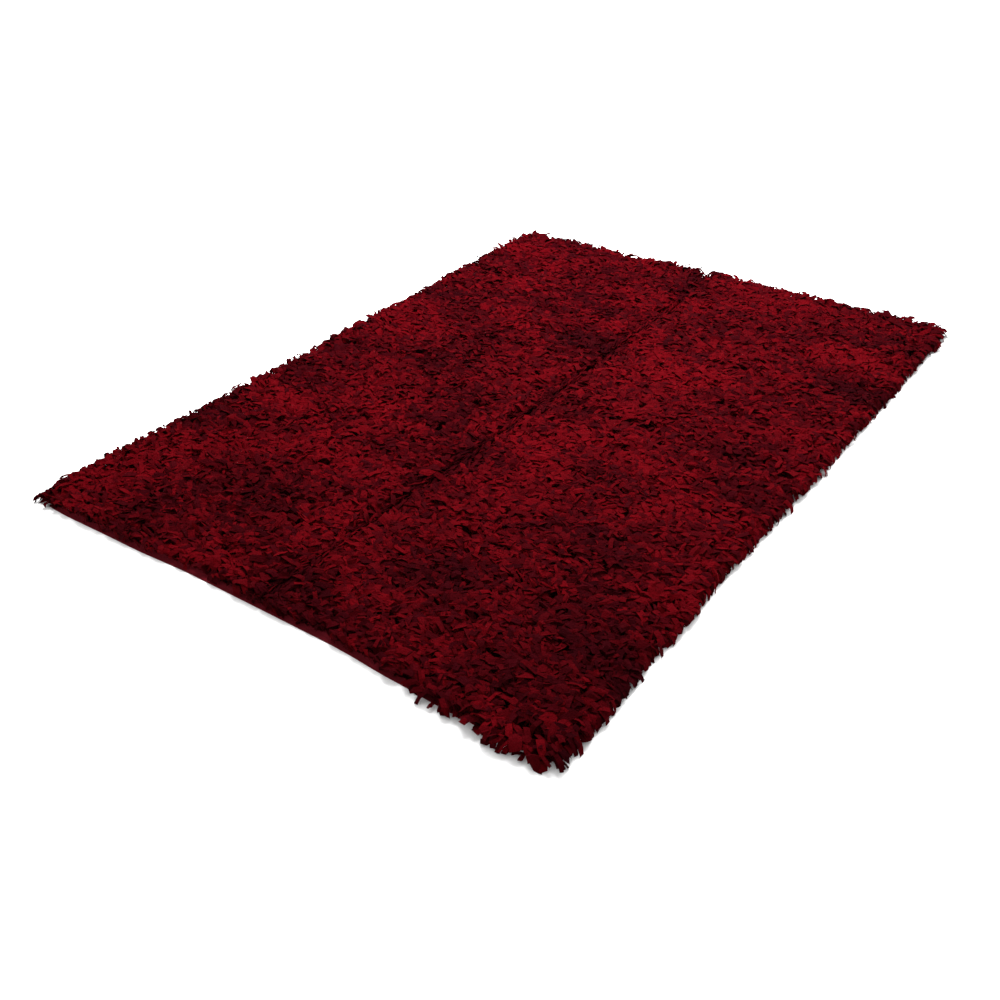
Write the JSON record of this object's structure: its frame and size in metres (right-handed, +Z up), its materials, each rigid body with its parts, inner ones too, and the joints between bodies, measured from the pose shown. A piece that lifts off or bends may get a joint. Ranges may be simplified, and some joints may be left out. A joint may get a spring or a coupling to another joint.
{
  "type": "shag rug",
  "caption": "Rectangular shag rug: a thick pile of cut cloth strips on a woven ground cloth, lying flat, with a plain woven heading along its end.",
  "frame": {"origin": "on the floor, under the middle of the rug's outline", "axes": "+Y along the rug's length, away from the end whose heading shows; +X across it; +Z up out of the pile"},
  "size_m": [1.476, 2.0546, 0.0384],
  "materials": {
    "ground_weave": "matt flat weave, dark red",
    "pile_strips": "matt cut jersey strips, deep red with some duller burgundy ones"
  },
  "bodies": {
    "root": {"ground_cloth": "ground_weave", "shag_pile": "pile_strips"}
  },
  "joints": []
}
